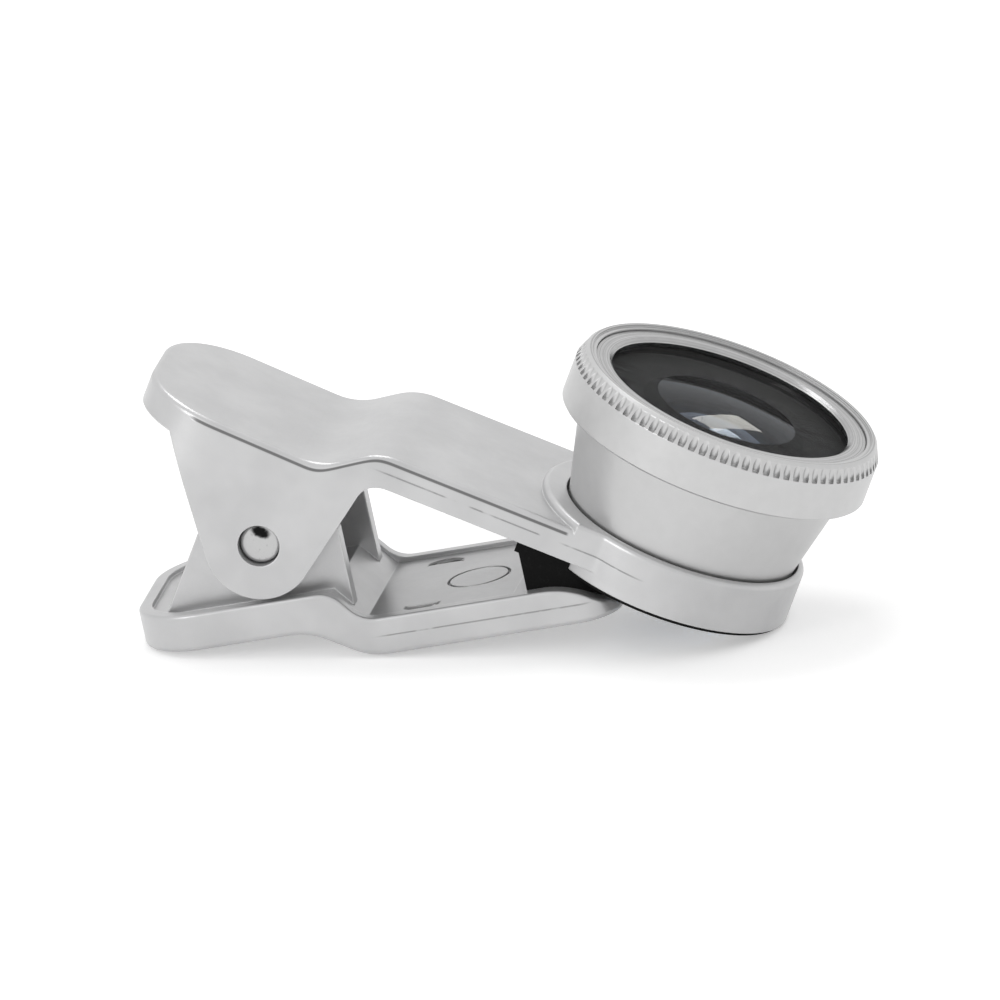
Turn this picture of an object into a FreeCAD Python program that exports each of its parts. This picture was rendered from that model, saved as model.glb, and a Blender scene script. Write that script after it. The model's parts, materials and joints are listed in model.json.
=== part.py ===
import FreeCAD, Part
import Sketcher
import math
import os

# Clip-on phone lens: two sprung arms with soft jaws, and a wide lens screwed into the ring of
# the upper arm. Millimetres. Both arms are drawn about the hinge pin: x runs along the arm
# towards the jaw, y across it, z towards the lens for the upper arm and towards the upper arm
# for the lower one. The lens is drawn about its own axis, with z = 0 on the shoulder that
# seats in the ring. At the end everything is laid down as the closed clip rests on a table.

SIZES = {
    # both arms
    "arm_width": 18.0,
    "jaw_angle": 32.0,
    "edge_round": 0.45,
    "rim_round": 0.25,
    "dish_depth": 0.35,
    "dish_rim": 1.1,
    # upper arm
    "upper_reach": 13.1,
    "upper_corner": 6.4,
    "upper_grip_top": 8.05,
    "upper_grip_rise": 1.7,
    "upper_grip_wall": 2.5,
    "upper_bend_start": 2.3,
    "upper_bend_run": 4.1,
    "upper_bend_lead": 0.8,
    "upper_jaw_top": 11.0,
    "upper_jaw_wall": 2.66,
    "bend_round": 5.0,
    "bend_inner_round": 2.4,
    "upper_ear_wall": 2.2,
    "upper_ear_round": 4.4,
    "upper_ear_back_lean": 53.4,
    "upper_ear_front_lean": 78.0,
    "upper_ear_root_round": 1.8,
    # ring that holds the lens
    "lens_reach": 30.4,
    "ring_top": 11.65,
    "ring_bottom": 7.4,
    "ring_round": 0.45,
    "ring_blend": 1.6,
    "collar_radius": 11.6,
    "recess_depth": 1.84,
    "recess_wall": 0.55,
    "recess_gap": 0.25,
    # lower arm
    "lower_reach": 11.8,
    "lower_corner": 5.6,
    "lower_grip_drop": 4.7,
    "lower_grip_wall": 3.05,
    "lower_bend_start": 4.7,
    "lower_bend_run": 2.2,
    "lower_bend_lead": 2.3,
    "lower_bend_round": 2.6,
    "lower_belly_round": 5.5,
    "lower_jaw_drop": 7.4,
    "lower_jaw_round": 7.0,
    "lower_jaw_wall": 3.1,
    "lower_jaw_reach": 27.2,
    "lower_jaw_corner": 3.2,
    "lower_ear_wall": 1.4,
    "lower_ear_round": 5.0,
    "lower_ear_lean": 58.0,
    "lower_ear_front": 6.03,
    "lower_ear_step": 0.35,
    "lower_ear_shoulder": 50.0,
    "lower_ear_root": 1.0,
    "ear_gap": 0.2,
    "mark_depth": 0.35,
    "mark_radius": 2.6,
    "mark_width": 0.25,
    "mark_reach": 14.9,
    "crescent_reach": 11.2,
    "crescent_span": 5.6,
    "crescent_length": 2.8,
    "crescent_width": 0.75,
    # hinge
    "pin_radius": 1.65,
    "pin_dome": 0.35,
    "pin_clearance": 0.04,
    "pin_recess": 0.7,
    # spring
    "wire_radius": 0.4,
    "coil_inner_gap": 0.35,
    "coil_turns": 8.0,
    "coil_pitch": 0.86,
    "spring_inset": 5.5,
    "spring_gap": 0.1,
    # jaw pads
    "ring_pad_wall": 0.3,
    "ring_pad_inset": 0.25,
    "ring_pad_lip": 1.1,
    "jaw_pad_wall": 0.9,
    "jaw_pad_length": 7.0,
    "pad_side_inset": 1.3,
    "pad_end_inset": 0.2,
    "trim_margin": 1.0,
    "pad_hole_margin": 0.4,
    # lens barrel
    "neck_radius": 7.5,
    "thread_clearance": 0.05,
    "seat_width": 2.0,
    "base_height": 1.7,
    "cone_top": 8.95,
    "spigot_height": 2.45,
    "band_bevel": 0.15,
    "floor_lip": 0.35,
    "chamber_floor": 4.4,
    "cup_wall": 0.8,
    "cup_floor": 9.4,
    "assembly_gap": 0.05,
    # front ring
    "band_radius": 12.7,
    "band_wall": 1.45,
    "band_height": 3.3,
    "flute_height": 1.05,
    "flute_radius": 0.3,
    "flute_inset": 0.2,
    "flute_count": 88.0,
    "crown_draft": 0.45,
    "crown_height": 0.3,
    "crown_bevel": 0.25,
    "crown_step": 0.16,
    "crown_lip": 0.4,
    # front retaining ring
    "keeper_inset": 1.4,
    "keeper_wall": 1.4,
    "keeper_lip": 0.3,
    "keeper_step": 0.32,
    # glass and what holds it
    "front_curve": 110.0,
    "front_glass_edge": 0.75,
    "front_hollow_curve": 24.0,
    "front_hollow_radius": 5.75,
    "baffle_wall": 0.55,
    "baffle_flare": 0.9,
    "shim_wall": 0.15,
    "shim_width": 1.45,
    "cell_bore": 6.05,
    "cell_wall": 2.0,
    "cell_lip": 0.45,
    "cell_flange": 1.75,
    "cell_mouth": 7.4,
    "middle_glass_edge": 1.0,
    "middle_curve": 13.0,
    "spacer_wall": 1.4,
    "stop_radius": 2.6,
    "stop_rim": 0.8,
    "stop_edge": 0.1,
    "rear_glass_edge": 1.7,
    "rear_curve": 11.0,
    "rear_ring_wall": 1.0,
    "rear_ring_bore": 4.9,
    "spanner_slot": 1.0,
}


class Size:
    """A size as a number, and as the expression that the document works it out from."""

    def __init__(self, value, words):
        self.value = float(value)
        self.words = words

    def __add__(self, other):
        other = as_size(other)
        return Size(self.value + other.value, f"({self.words} + {other.words})")

    def __sub__(self, other):
        other = as_size(other)
        return Size(self.value - other.value, f"({self.words} - {other.words})")

    def __mul__(self, other):
        other = as_size(other)
        return Size(self.value * other.value, f"({self.words} * {other.words})")

    def __truediv__(self, other):
        other = as_size(other)
        return Size(self.value / other.value, f"({self.words} / {other.words})")

    def __neg__(self):
        return Size(-self.value, f"(0 - {self.words})")


def as_size(number):
    """Takes a plain number as a size."""
    return number if isinstance(number, Size) else Size(number, f"({float(number)!r})")


def sine(angle):
    return Size(math.sin(math.radians(angle.value)), f"sin({angle.words})")


def cosine(angle):
    return Size(math.cos(math.radians(angle.value)), f"cos({angle.words})")


def tangent(angle):
    return Size(math.tan(math.radians(angle.value)), f"tan({angle.words})")


def root(square):
    return Size(math.sqrt(square.value), f"sqrt({square.words})")


class Sheet:
    """The spreadsheet of driving sizes; sheet.name is the size with that alias."""

    def __init__(self, doc, sizes):
        self.sizes = sizes
        self.cells = doc.addObject("Spreadsheet::Sheet", "Sizes")
        for row, (name, value) in enumerate(sizes.items(), start=1):
            self.cells.set(f"A{row}", name.replace("_", " "))
            self.cells.set(f"B{row}", str(value))
            self.cells.setAlias(f"B{row}", name)
        doc.recompute()

    def __getattr__(self, name):
        return Size(self.cells.get(name), f"Sizes.{name}")


doc = FreeCAD.newDocument("clip_on_lens")
s = Sheet(doc, SIZES)
ZERO = Size(0, "0")


# Sketches

def origin_part(body, role):
    """The body's own plane or axis of that name, such as XZ_Plane or Z_Axis."""
    return [feature for feature in body.Origin.OriginFeatures if feature.Role == role][0]


def new_body(name):
    body = doc.addObject("PartDesign::Body", name)
    body.Label = name
    return body


def new_sketch(body, name, role, lift=None):
    """A sketch on one of the body's planes, lifted along the plane's normal."""
    sketch = body.newObject("Sketcher::SketchObject", name)
    sketch.AttachmentSupport = [(origin_part(body, role), "")]
    sketch.MapMode = "FlatFace"
    if lift is not None:
        sketch.setExpression("AttachmentOffset.Base.z", lift.words)
    return sketch


def bind(sketch, constraint, size):
    """Adds a constraint whose value follows the size."""
    row = sketch.addConstraint(constraint)
    sketch.setExpression(f"Constraints[{row}]", size.words)


def fix_point(sketch, side, position, x, y):
    bind(sketch, Sketcher.Constraint("DistanceX", -1, 1, side, position, x.value), x)
    bind(sketch, Sketcher.Constraint("DistanceY", -1, 1, side, position, y.value), y)


def add_arc(sketch, a, b, curve):
    """An arc from a to b; a positive radius turns left of the way from a to b."""
    radius = abs(curve.value)
    chord = b.sub(a)
    half = chord.Length / 2
    rise = math.sqrt(max(radius * radius - half * half, 0.0))
    left = FreeCAD.Vector(-chord.y, chord.x, 0).normalize()
    middle = a.add(b).multiply(0.5)
    turn = 1 if curve.value > 0 else -1
    centre = middle.add(left.multiply(turn * rise))
    first, last = (a, b) if turn > 0 else (b, a)
    start = math.atan2(first.y - centre.y, first.x - centre.x)
    end = math.atan2(last.y - centre.y, last.x - centre.x)
    circle = Part.Circle(centre, FreeCAD.Vector(0, 0, 1), radius)
    side = sketch.addGeometry(Part.ArcOfCircle(circle, start, end), False)
    size = curve if turn > 0 else -curve
    bind(sketch, Sketcher.Constraint("Radius", side, radius), size)
    return (side, 1, 2) if turn > 0 else (side, 2, 1)


def outline(sketch, points):
    """A closed outline through (x, y); a third value is the radius of the arc that follows."""
    points = [tuple(as_size(value) for value in point) for point in points]
    corners = [FreeCAD.Vector(point[0].value, point[1].value, 0) for point in points]
    sides = []
    for index, point in enumerate(points):
        a, b = corners[index], corners[(index + 1) % len(points)]
        if len(point) == 3:
            sides.append(add_arc(sketch, a, b, point[2]))
        else:
            sides.append((sketch.addGeometry(Part.LineSegment(a, b), False), 1, 2))
    for index, (side, first, last) in enumerate(sides):
        after, after_first, _ = sides[(index + 1) % len(sides)]
        sketch.addConstraint(Sketcher.Constraint("Coincident", side, last, after, after_first))
        fix_point(sketch, side, first, points[index][0], points[index][1])
    return sketch


def circle(sketch, x, y, radius):
    x, y = as_size(x), as_size(y)
    place = FreeCAD.Vector(x.value, y.value, 0)
    shape = Part.Circle(place, FreeCAD.Vector(0, 0, 1), radius.value)
    side = sketch.addGeometry(shape, False)
    fix_point(sketch, side, 3, x, y)
    bind(sketch, Sketcher.Constraint("Radius", side, radius.value), radius)
    return sketch


# Features

def made(feature):
    """Works the document out, and stops the build if the new feature failed."""
    doc.recompute()
    if "Invalid" in feature.State:
        raise RuntimeError(f"{feature.Name} failed")
    return feature


def pad(body, name, sketch, length, symmetric=False, reverse=False):
    feature = body.newObject("PartDesign::Pad", name)
    feature.Profile = sketch
    feature.setExpression("Length", length.words)
    feature.SideType = "Symmetric" if symmetric else "One side"
    feature.Reversed = reverse
    return made(feature)


def pocket(body, name, sketch, length, symmetric=False, reverse=False):
    """Cuts the sketch out, and stops the build if nothing was cut."""
    before = body.Shape.Volume
    feature = body.newObject("PartDesign::Pocket", name)
    feature.Profile = sketch
    feature.setExpression("Length", length.words)
    feature.SideType = "Symmetric" if symmetric else "One side"
    feature.Reversed = reverse
    made(feature)
    if not feature.Shape.Volume < before:
        raise RuntimeError(f"{name} cut nothing from {body.Label}")
    return feature


def mirror(body, name, features, role="XZ_Plane"):
    copy = body.newObject("PartDesign::Mirrored", name)
    copy.Originals = features
    copy.MirrorPlane = (origin_part(body, role), [""])
    body.Tip = copy
    return made(copy)


def fillet(body, name, chosen, radius):
    """Rounds the edges of the body's tip that the test picks."""
    base = body.Tip
    names = [f"Edge{number}" for number, edge in enumerate(base.Shape.Edges, start=1) if chosen(edge)]
    if not names:
        raise RuntimeError(f"{name} found no edge on {body.Label}")
    feature = body.newObject("PartDesign::Fillet", name)
    feature.Base = (base, names)
    feature.setExpression("Radius", radius.words)
    return made(feature)


def turned(name, points):
    """A turned piece: an outline of (radius, height) spun about the vertical axis."""
    body = new_body(name)
    sketch = outline(new_sketch(body, f"{name}_section", "XZ_Plane"), points)
    feature = body.newObject("PartDesign::Revolution", f"{name}_turned")
    feature.Profile = sketch
    feature.ReferenceAxis = (sketch, ["V_Axis"])
    feature.Angle = 360
    made(feature)
    return body


# How close two lengths are when they count as the same, and how close to 1 the cosine of the
# angle between two directions is when they do
SAME_LENGTH = 0.01
SAME_WAY = 0.0001


def near(value, target):
    return abs(value - target) < SAME_LENGTH


def lies_along(edge, x, y, z):
    """True for a straight edge that runs along the direction given."""
    if not isinstance(edge.Curve, (Part.Line, Part.LineSegment)):
        return False
    way = edge.tangentAt(edge.FirstParameter)
    return 1 - abs(way.dot(FreeCAD.Vector(x, y, z))) < SAME_WAY


# Sizes that several pieces share

base_radius = s.neck_radius + s.seat_width
recess_radius = base_radius + s.recess_gap
ring_radius = recess_radius + s.recess_wall
ring_pad_radius = ring_radius - s.ring_pad_inset
jaw_plane = s.ring_bottom - s.ring_pad_wall
upper_jaw_bottom = s.upper_jaw_top - s.upper_jaw_wall
upper_bend_end = s.upper_bend_start + s.upper_bend_run
grip_end_top = s.upper_grip_top + (s.upper_reach + s.upper_bend_start) * tangent(s.upper_grip_rise)
half_width = s.arm_width / 2
upper_ear_inside = half_width - s.upper_ear_wall
lower_ear_outside = upper_ear_inside - s.ear_gap
lower_ear_inside = lower_ear_outside - s.lower_ear_wall
seat_level = s.ring_top - s.recess_depth
neck_length = seat_level - s.ring_bottom
thread_bore = s.neck_radius + s.thread_clearance
upper_pad_back = s.lens_reach - ring_radius - s.ring_pad_lip
SWING = s.jaw_angle

# How far inside a plate's outer face the middle of one of its outer edges may lie
EDGE_BAND = 0.4

# Where the collar starts on the arm's side, and where the rounded inner corner between that
# side and the ring starts and ends
collar_x = s.lens_reach - root(s.collar_radius * s.collar_radius - half_width * half_width)
blend_reach = ring_radius + s.ring_blend
blend_side = half_width + s.ring_blend
blend_start_x = s.lens_reach - root(blend_reach * blend_reach - blend_side * blend_side)
blend_end_x = s.lens_reach - (s.lens_reach - blend_start_x) * ring_radius / blend_reach
blend_end_y = blend_side * ring_radius / blend_reach


def closing_line(x, below=ZERO):
    """Height in the lower arm's frame of the plane where the jaws meet, moved down by a wall."""
    return (jaw_plane - below - x * sine(SWING)) / cosine(SWING)


# Upper arm: a plate with a stepped bend, two ears, and the ring that carries the lens

def make_upper_arm():
    body = new_body("upper_arm")
    side = new_sketch(body, "upper_side", "XZ_Plane")
    inner_start = s.upper_bend_start + s.upper_bend_lead
    inner_end = upper_bend_end + s.upper_bend_lead
    grip_bottom = s.upper_grip_top - s.upper_grip_wall
    rise = tangent(s.upper_grip_rise)
    outline(side, [
        (-s.upper_reach, grip_end_top),
        (-s.upper_reach, grip_bottom + (s.upper_reach + inner_start) * rise),
        (inner_start, grip_bottom),
        (inner_end, upper_jaw_bottom),
        (blend_end_x, upper_jaw_bottom),
        (blend_end_x, s.upper_jaw_top),
        (upper_bend_end, s.upper_jaw_top),
        (s.upper_bend_start, s.upper_grip_top),
    ])
    pad(body, "upper_plate", side, s.arm_width, symmetric=True)

    fillet(body, "upper_bends",
           lambda e: crosses(e, s.upper_bend_start) or crosses(e, upper_bend_end), s.bend_round)
    fillet(body, "upper_inner_bends",
           lambda e: crosses(e, inner_start) or crosses(e, inner_end), s.bend_inner_round)
    fillet(body, "upper_grip_corners",
           lambda e: lies_along(e, 0, 0, 1) and near(e.CenterOfMass.x, -s.upper_reach.value),
           s.upper_corner)

    fillet(body, "upper_top_edge", on_upper_top, s.edge_round)

    floor = grip_bottom + s.dish_depth
    grip = new_sketch(body, "upper_grip_dish_outline", "XY_Plane", floor + inner_start * rise)
    grip.AttachmentOffset = FreeCAD.Placement(
        grip.AttachmentOffset.Base,
        FreeCAD.Rotation(FreeCAD.Vector(0, 1, 0), s.upper_grip_rise.value))
    grip.setExpression("AttachmentOffset.Rotation.Angle", s.upper_grip_rise.words)
    grip_outline(grip, s.upper_reach, s.upper_corner, inner_start)
    pocket(body, "upper_grip_dish", grip, s.upper_grip_wall)
    core = new_sketch(body, "upper_dish_side", "XZ_Plane")
    start = s.upper_corner - s.upper_reach
    end = upper_pad_back - s.dish_rim
    outline(core, [
        (start, ZERO),
        (start, floor + (inner_start - start) * rise),
        (inner_start, floor),
        (inner_end, upper_jaw_bottom + s.dish_depth),
        (end, upper_jaw_bottom + s.dish_depth),
        (end, ZERO),
    ])
    pocket(body, "upper_dish", core, s.arm_width - s.dish_rim * 2, symmetric=True)

    collar = new_sketch(body, "collar_outline", "XY_Plane", upper_jaw_bottom)
    outline(collar, [
        (blend_start_x, half_width, s.ring_blend),
        (blend_end_x, blend_end_y),
        (blend_end_x, -blend_end_y, s.ring_blend),
        (blend_start_x, -half_width),
        (collar_x, -half_width, -s.collar_radius),
        (collar_x, half_width),
    ])
    pad(body, "ring_collar", collar, s.ring_top - upper_jaw_bottom)

    boss = circle(new_sketch(body, "ring_outline", "XY_Plane", s.ring_bottom), s.lens_reach, 0,
                  ring_radius)
    pad(body, "ring_boss", boss, s.ring_top - s.ring_bottom)

    ear = new_sketch(body, "upper_ear_side", "XZ_Plane", upper_ear_inside)
    round_ = s.upper_ear_round
    back = s.upper_ear_back_lean
    front = s.upper_ear_front_lean
    back_x, back_z = -round_ * sine(back), -round_ * cosine(back)
    front_x, front_z = round_ * sine(front), -round_ * cosine(front)
    crown = s.upper_grip_top - s.upper_grip_wall / 2
    root_x = front_x + (upper_jaw_bottom - front_z) / tangent(front)
    root_run = s.upper_ear_root_round * tangent(front / 2)
    outline(ear, [
        (back_x, back_z, round_),
        (front_x, front_z),
        (root_x - root_run * cosine(front), upper_jaw_bottom - root_run * sine(front),
         -s.upper_ear_root_round),
        (root_x + root_run, upper_jaw_bottom),
        (root_x + root_run, s.upper_jaw_top - s.upper_jaw_wall / 2),
        (inner_start, crown),
        (back_x - (crown - back_z) / tangent(back), crown),
    ])
    ear_pad = pad(body, "upper_ear", ear, s.upper_ear_wall)
    mirror(body, "upper_ears", [ear_pad])

    corner = s.upper_corner
    past = half_width + s.trim_margin
    trim = outline(new_sketch(body, "ear_trim_outline", "XY_Plane", crown), [
        (-s.upper_reach, half_width - corner, -corner),
        (corner - s.upper_reach, half_width),
        (corner - s.upper_reach, past),
        (-s.upper_reach - s.trim_margin, past),
        (-s.upper_reach - s.trim_margin, half_width - corner),
    ])
    first = pocket(body, "ear_trim", trim, crown + round_)
    mirror(body, "ear_trims", [first])

    hole = circle(new_sketch(body, "upper_pin_hole", "XZ_Plane"), 0, 0,
                  s.pin_radius + s.pin_clearance)
    pocket(body, "upper_pin_bore", hole, s.arm_width * 2, symmetric=True)

    recess = circle(new_sketch(body, "recess_outline", "XY_Plane", seat_level), s.lens_reach, 0,
                    recess_radius)
    pocket(body, "lens_recess", recess, s.recess_depth * 2, reverse=True)
    bore = circle(new_sketch(body, "thread_outline", "XY_Plane", s.ring_bottom), s.lens_reach, 0,
                  thread_bore)
    pocket(body, "thread_bore", bore, s.ring_top, reverse=True)

    fillet(body, "ring_top_edge",
           lambda e: near(e.CenterOfMass.z, s.ring_top.value) and not is_circle(e, recess_radius),
           s.ring_round)
    return body


def grip_outline(sketch, reach, corner, end):
    """The outline of the dish in a grip: square at the bend, rounded as the grip's own end is."""
    back = s.dish_rim - reach
    turn = corner - s.dish_rim
    half = half_width - s.dish_rim
    return outline(sketch, [
        (back + turn, -half),
        (end, -half),
        (end, half),
        (back + turn, half, turn),
        (back, half - turn),
        (back, turn - half, turn),
    ])


def crosses(edge, x, z=None):
    """True for a straight edge across the arm at x, and at height z if that is given."""
    middle = edge.CenterOfMass
    level = z is None or near(middle.z, z.value)
    return lies_along(edge, 0, 1, 0) and near(middle.x, x.value) and level


def is_circle(edge, radius):
    return isinstance(edge.Curve, Part.Circle) and near(edge.Curve.Radius, radius.value)


def on_upper_top(edge):
    """True for the edges round the plate's top, apart from its cut end at the ring."""
    middle = edge.valueAt((edge.FirstParameter + edge.LastParameter) / 2)
    if lies_along(edge, 0, 1, 0) or lies_along(edge, 0, 0, 1):
        return False
    return middle.z > upper_top_height(middle.x) - EDGE_BAND


def upper_top_height(x):
    """Height of the plate's top above the hinge axis at x, with its bends taken as sharp."""
    start, end = s.upper_bend_start.value, upper_bend_end.value
    if x < start:
        return s.upper_grip_top.value + (start - x) * math.tan(math.radians(s.upper_grip_rise.value))
    if x > end:
        return s.upper_jaw_top.value
    share = (x - start) / (end - start)
    return s.upper_grip_top.value + share * (s.upper_jaw_top.value - s.upper_grip_top.value)


# Lower arm: a plate that steps down under the jaw, two ears inside the upper ones

lower_grip_bottom = -s.lower_grip_drop - s.lower_grip_wall
lower_jaw_bottom = -s.lower_jaw_drop - s.lower_jaw_wall
lower_bend_end = s.lower_bend_start + s.lower_bend_run
belly_start = s.lower_bend_start - s.lower_bend_lead
lower_pad_back = s.lower_jaw_reach - s.jaw_pad_length
lower_slope_start = (jaw_plane - s.jaw_pad_wall + s.lower_jaw_drop * cosine(SWING)) / sine(SWING)
slope_run = s.lower_jaw_round * tangent(SWING / 2)
jaw_curve = [
    (lower_slope_start + slope_run * cosine(SWING), -s.lower_jaw_drop - slope_run * sine(SWING),
     s.lower_jaw_round),
    (lower_slope_start - slope_run, -s.lower_jaw_drop),
]


def make_lower_arm():
    body = new_body("lower_arm")
    side = new_sketch(body, "lower_side", "XZ_Plane")
    outline(side, [
        (-s.lower_reach, lower_grip_bottom),
        (belly_start, lower_grip_bottom),
        (lower_bend_end, lower_jaw_bottom),
        (s.lower_jaw_reach, lower_jaw_bottom),
        (s.lower_jaw_reach, closing_line(s.lower_jaw_reach, s.jaw_pad_wall)),
        *jaw_curve,
        (lower_bend_end, -s.lower_jaw_drop),
        (s.lower_bend_start, -s.lower_grip_drop),
        (-s.lower_reach, -s.lower_grip_drop),
    ])
    pad(body, "lower_plate", side, s.arm_width, symmetric=True)
    fillet(body, "lower_bends",
           lambda e: (crosses(e, s.lower_bend_start, -s.lower_grip_drop)
                      or crosses(e, lower_bend_end, -s.lower_jaw_drop)), s.lower_bend_round)
    fillet(body, "lower_belly",
           lambda e: (crosses(e, belly_start, lower_grip_bottom)
                      or crosses(e, lower_bend_end, lower_jaw_bottom)), s.lower_belly_round)
    fillet(body, "lower_grip_corners",
           lambda e: lies_along(e, 0, 0, 1) and near(e.CenterOfMass.x, -s.lower_reach.value),
           s.lower_corner)
    fillet(body, "lower_jaw_corners",
           lambda e: lies_along(e, 0, 0, 1) and near(e.CenterOfMass.x, s.lower_jaw_reach.value),
           s.lower_jaw_corner)
    fillet(body, "lower_bottom_edge", on_lower_bottom, s.edge_round)
    fillet(body, "lower_rim_edge", on_lower_rim, s.rim_round)

    grip = new_sketch(body, "lower_grip_dish_outline", "XY_Plane",
                      -s.lower_grip_drop - s.dish_depth)
    grip_outline(grip, s.lower_reach, s.lower_corner, s.lower_bend_start)
    pocket(body, "lower_grip_dish", grip, s.lower_grip_drop + s.dish_depth, reverse=True)
    core = new_sketch(body, "lower_dish_side", "XZ_Plane")
    start = s.lower_corner - s.lower_reach
    end = lower_pad_back - s.dish_rim
    outline(core, [
        (start, ZERO),
        (start, -s.lower_grip_drop - s.dish_depth),
        (s.lower_bend_start, -s.lower_grip_drop - s.dish_depth),
        (lower_bend_end, -s.lower_jaw_drop - s.dish_depth),
        (end, -s.lower_jaw_drop - s.dish_depth),
        (end, ZERO),
    ])
    pocket(body, "lower_dish", core, s.arm_width - s.dish_rim * 2, symmetric=True)
    make_inner_marks(body)

    ear = new_sketch(body, "lower_ear_side", "XZ_Plane", lower_ear_inside)
    round_ = s.lower_ear_round
    front = s.lower_ear_front
    crown = s.lower_ear_shoulder
    back_x, back_z = -round_ * sine(s.lower_ear_lean), round_ * cosine(s.lower_ear_lean)
    root_z = -s.lower_grip_drop - s.lower_grip_wall / 2
    outline(ear, [
        (back_x - (back_z - root_z) / tangent(s.lower_ear_lean), root_z),
        (belly_start, root_z),
        (front, -s.lower_jaw_drop - s.lower_ear_root),
        (front, -s.lower_ear_step),
        (round_ * cosine(crown), round_ * sine(crown), round_),
        (back_x, back_z),
    ])
    ear_pad = pad(body, "lower_ear", ear, s.lower_ear_wall)
    mirror(body, "lower_ears", [ear_pad])
    hole = circle(new_sketch(body, "lower_pin_hole", "XZ_Plane"), 0, 0,
                  s.pin_radius + s.pin_clearance)
    pocket(body, "lower_pin_bore", hole, s.arm_width, symmetric=True)
    return body


def make_inner_marks(body):
    """Shallow moulded recesses in the dish under the jaw: a ring and two crescents."""
    jaw_floor = -s.lower_jaw_drop - s.dish_depth - s.mark_depth
    ring = new_sketch(body, "mark_ring", "XY_Plane", jaw_floor)
    circle(ring, s.mark_reach, 0, s.mark_radius)
    circle(ring, s.mark_reach, 0, s.mark_radius - s.mark_width)
    pocket(body, "ring_mark", ring, s.mark_depth + s.dish_depth, reverse=True)
    crescents = new_sketch(body, "crescent_outline", "XY_Plane", jaw_floor)
    half = s.crescent_length / 2
    bend = (half * half + s.crescent_width * s.crescent_width) / s.crescent_width / 2
    outline(crescents, [
        (s.crescent_reach - half, s.crescent_span),
        (s.crescent_reach + half, s.crescent_span, bend + s.crescent_width),
    ])
    first = pocket(body, "crescent_mark", crescents, s.mark_depth + s.dish_depth, reverse=True)
    mirror(body, "crescent_marks", [first])


def on_lower_bottom(edge):
    """True for the edges round the plate's underside."""
    if lies_along(edge, 0, 0, 1):
        return False
    middle = edge.valueAt((edge.FirstParameter + edge.LastParameter) / 2)
    at_an_end = near(middle.x, -s.lower_reach.value) or near(middle.x, s.lower_jaw_reach.value)
    if lies_along(edge, 0, 1, 0) and not at_an_end:
        return False
    start, end = belly_start.value, lower_bend_end.value
    share = min(max((middle.x - start) / (end - start), 0.0), 1.0)
    level = lower_grip_bottom.value + share * (lower_jaw_bottom.value - lower_grip_bottom.value)
    return middle.z < level + EDGE_BAND


def on_lower_rim(edge):
    """True for the long edges of the plate's upper face, back to its grip end."""
    if lies_along(edge, 0, 0, 1) or lies_along(edge, 0, 1, 0) and edge.CenterOfMass.x > 0:
        return False
    middle = edge.valueAt((edge.FirstParameter + edge.LastParameter) / 2)
    start, end = s.lower_bend_start.value, lower_bend_end.value
    share = min(max((middle.x - start) / (end - start), 0.0), 1.0)
    level = -s.lower_grip_drop.value - share * (s.lower_jaw_drop - s.lower_grip_drop).value
    return middle.x < lower_slope_start.value and middle.z > level - EDGE_BAND


# Hinge: a round-ended pin through all four ears, and a spring coiled round it

def make_hinge_pin():
    body = new_body("hinge_pin")
    section = new_sketch(body, "pin_section", "XZ_Plane")
    circle(section, 0, 0, s.pin_radius)
    pad(body, "pin_shaft", section, s.arm_width - s.pin_recess * 2, symmetric=True)
    fillet(body, "pin_ends", lambda e: is_circle(e, s.pin_radius), s.pin_dome)
    return body


def tangent_angle(point, radius, side):
    """Angle on a circle about the pin where the straight line to the point touches it."""
    reach = math.hypot(point[0], point[1])
    return math.atan2(point[1], point[0]) - side * math.acos(radius / reach)


def make_spring():
    """A coil round the pin, with one straight leg under the upper grip and one on the lower."""
    swing = math.radians(s.jaw_angle.value)
    wire = s.wire_radius.value
    radius = s.pin_radius.value + s.coil_inner_gap.value + wire
    leg = (s.upper_reach - s.spring_inset).value
    off = wire + s.spring_gap.value
    slope = math.tan(math.radians(s.upper_grip_rise.value))
    upper_floor = (s.upper_grip_top.value - s.upper_grip_wall.value + s.dish_depth.value
                   + (leg + s.upper_bend_start.value) * slope)
    upper_end = (-leg, upper_floor - off)
    low = (-leg, -s.lower_grip_drop.value - s.dish_depth.value + off)
    lower_end = (low[0] * math.cos(swing) - low[1] * math.sin(swing),
                 low[0] * math.sin(swing) + low[1] * math.cos(swing))
    upper_touch = tangent_angle(upper_end, radius, 1)
    lower_touch = tangent_angle(lower_end, radius, -1)
    turn = 2 * math.pi
    part_turn = ((upper_touch - lower_touch) % turn) / turn
    turns = s.coil_turns.value + part_turn
    length = turns * s.coil_pitch.value
    coil = Part.makeHelix(s.coil_pitch.value, length, radius)
    section = Part.Wire(Part.makeCircle(wire, FreeCAD.Vector(radius, 0, 0), FreeCAD.Vector(0, 1, 0)))
    solid = Part.Wire(coil).makePipeShell([section], True, True)
    solid.rotate(FreeCAD.Vector(0, 0, 0), FreeCAD.Vector(0, 0, 1), math.degrees(lower_touch))
    solid.rotate(FreeCAD.Vector(0, 0, 0), FreeCAD.Vector(1, 0, 0), 90)
    solid.translate(FreeCAD.Vector(0, length / 2, 0))
    pieces = []
    for angle, end, across in ((upper_touch, upper_end, -length / 2),
                               (lower_touch, lower_end, length / 2)):
        start = FreeCAD.Vector(radius * math.cos(angle), across, radius * math.sin(angle))
        way = FreeCAD.Vector(end[0], across, end[1]).sub(start)
        pieces.append(Part.makeCylinder(wire, way.Length, start, way))
        pieces.append(Part.makeSphere(wire, start))
    spring = doc.addObject("Part::Feature", "torsion_spring")
    spring.Label = "torsion_spring"
    spring.Shape = solid.multiFuse(pieces).removeSplitter()
    return spring


# Jaw pads

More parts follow.
